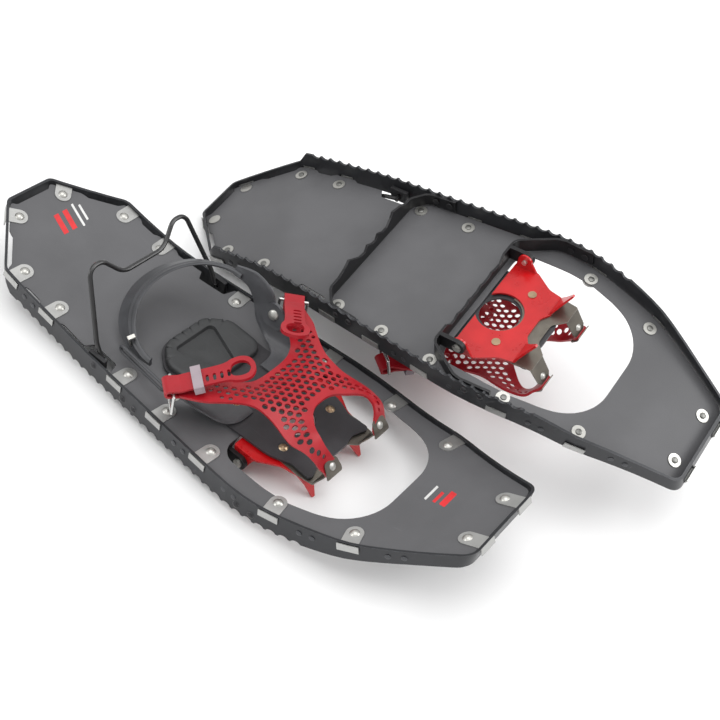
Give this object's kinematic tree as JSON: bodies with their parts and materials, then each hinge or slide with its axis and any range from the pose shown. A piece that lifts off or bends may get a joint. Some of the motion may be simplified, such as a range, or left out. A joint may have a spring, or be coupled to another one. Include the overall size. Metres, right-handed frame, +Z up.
{
  "type": "snowshoes",
  "caption": "Pair of blade-framed mountain snowshoes with pivoting crampon bindings, perforated toe straps and heel lifts, one upright and one face down.",
  "frame": {"origin": "centre of the pair on the surface they stand on", "axes": "+X across the shoes to the right of someone facing the toes, +Y towards the toes, +Z up"},
  "size_m": [0.3983, 0.6652, 0.1544],
  "materials": {
    "anodised_blade": "dark anodised, brushed",
    "deck_sheet": "coated, satin",
    "stainless_clip": "satin",
    "rivet_steel": "satin",
    "anodised_cross": "black anodised",
    "dark_rivet": "satin",
    "black_steel": "satin black",
    "pin_steel": "satin",
    "red_steel": "gloss powder coat",
    "stainless_plate": "brushed",
    "harness_rubber": "matte",
    "bronze_rivet": "satin",
    "pad_rubber": "matte",
    "wing_rubber": "matte",
    "red_strap": "satin",
    "wire_steel": "polished",
    "clear_keeper": "frosted",
    "heel_rubber": "satin",
    "black_wire": "satin black",
    "black_plastic": "fine grain"
  },
  "bodies": {
    "left_frame": {"left_frame_blade": "anodised_blade", "left_deck": "deck_sheet", "left_deck_clips": "stainless_clip", "left_deck_rivets": "rivet_steel", "left_rear_cross_member": "anodised_cross", "left_front_cross_member": "anodised_cross", "left_cross_member_rivets": "dark_rivet", "left_hinge_lugs": "black_steel", "left_hinge_pins": "pin_steel", "left_lift_pivot_blocks": "black_plastic", "left_lift_rivets": "dark_rivet"},
    "left_binding": {"left_crampon": "red_steel", "left_front_plate": "stainless_plate", "left_harness_base": "harness_rubber", "left_base_rivets": "bronze_rivet", "left_heel_pad": "pad_rubber", "left_side_wings": "wing_rubber", "left_toe_strap": "red_strap", "left_tab_rivets": "rivet_steel", "left_heel_strap": "heel_rubber", "left_heel_strap_link": "wing_rubber", "left_heel_strap_pin": "wire_steel"},
    "left_outer_buckle_ring": {"left_outer_buckle": "wire_steel"},
    "left_inner_buckle_ring": {"left_inner_buckle": "wire_steel"},
    "left_keeper": {"left_strap_keeper": "clear_keeper"},
    "left_heel_lift": {"left_heel_lift_wire": "black_wire"},
    "right_frame": {"right_frame_blade": "anodised_blade", "right_deck": "deck_sheet", "right_deck_clips": "stainless_clip", "right_deck_rivets": "rivet_steel", "right_rear_cross_member": "anodised_cross", "right_front_cross_member": "anodised_cross", "right_cross_member_rivets": "dark_rivet", "right_hinge_lugs": "black_steel", "right_hinge_pins": "pin_steel", "right_lift_pivot_blocks": "black_plastic", "right_lift_rivets": "dark_rivet"},
    "right_binding": {"right_crampon": "red_steel", "right_front_plate": "stainless_plate", "right_harness_base": "harness_rubber", "right_base_rivets": "bronze_rivet", "right_heel_pad": "pad_rubber", "right_side_wings": "wing_rubber", "right_toe_strap": "red_strap", "right_tab_rivets": "rivet_steel", "right_heel_strap": "heel_rubber", "right_heel_strap_link": "wing_rubber", "right_heel_strap_pin": "wire_steel"},
    "right_outer_buckle_ring": {"right_outer_buckle": "wire_steel"},
    "right_inner_buckle_ring": {"right_inner_buckle": "wire_steel"},
    "right_keeper": {"right_strap_keeper": "clear_keeper"},
    "right_heel_lift": {"right_heel_lift_wire": "black_wire"}
  },
  "joints": [
    {"name": "left_binding_pivot", "type": "hinge", "parent": "left_frame", "child": "left_binding", "pos_m": [0.0954, 0.0154, 0.01405], "axis": [-1, 0, 0], "range_deg": [0, 70]},
    {"name": "left_heel_lift_pivot", "type": "hinge", "parent": "left_frame", "child": "left_heel_lift", "pos_m": [0.0954, -0.1466, 0.02605], "axis": [1, 0, 0], "range_deg": [0, 49]},
    {"name": "left_outer_buckle_swing", "type": "hinge", "parent": "left_binding", "child": "left_outer_buckle_ring", "pos_m": [0.17845, -0.05654, 0.04805], "axis": [-0.615, -0.7885, 0], "range_deg": [-6, 8]},
    {"name": "left_inner_buckle_swing", "type": "hinge", "parent": "left_binding", "child": "left_inner_buckle_ring", "pos_m": [0.01235, -0.05654, 0.04805], "axis": [-0.615, 0.7885, 0], "range_deg": [-6, 8]},
    {"name": "left_keeper_slide", "type": "slide", "parent": "left_binding", "child": "left_keeper", "axis": [-0.752, 0.5865, 0.3008], "range_m": [0, 0.018]},
    {"name": "right_binding_pivot", "type": "hinge", "parent": "right_frame", "child": "right_binding", "pos_m": [-0.0948, 0.09344, 0.11465], "axis": [0.9656, 0.0811, -0.247], "range_deg": [0, 70]},
    {"name": "right_heel_lift_pivot", "type": "hinge", "parent": "right_frame", "child": "right_heel_lift", "pos_m": [-0.09153, -0.06422, 0.07567], "axis": [-0.9656, -0.0811, 0.247], "range_deg": [-49, 0]},
    {"name": "right_outer_buckle_swing", "type": "hinge", "parent": "right_binding", "child": "right_outer_buckle_ring", "pos_m": [-0.02053, 0.03459, 0.04947], "axis": [0.563, 0.8263, -0.0179], "range_deg": [-6, 8]},
    {"name": "right_inner_buckle_swing", "type": "hinge", "parent": "right_binding", "child": "right_inner_buckle_ring", "pos_m": [-0.18091, 0.02112, 0.0905], "axis": [0.6248, -0.7265, -0.2859], "range_deg": [-6, 8]},
    {"name": "right_keeper_slide", "type": "slide", "parent": "right_binding", "child": "right_keeper", "axis": [-0.8264, 0.563, -0.0015], "range_m": [0, 0.018]},
    {"name": "right_shoe_lift", "type": "slide", "parent": "left_frame", "child": "right_frame", "axis": [0, 0, 1], "range_m": [0, 0.15]}
  ]
}
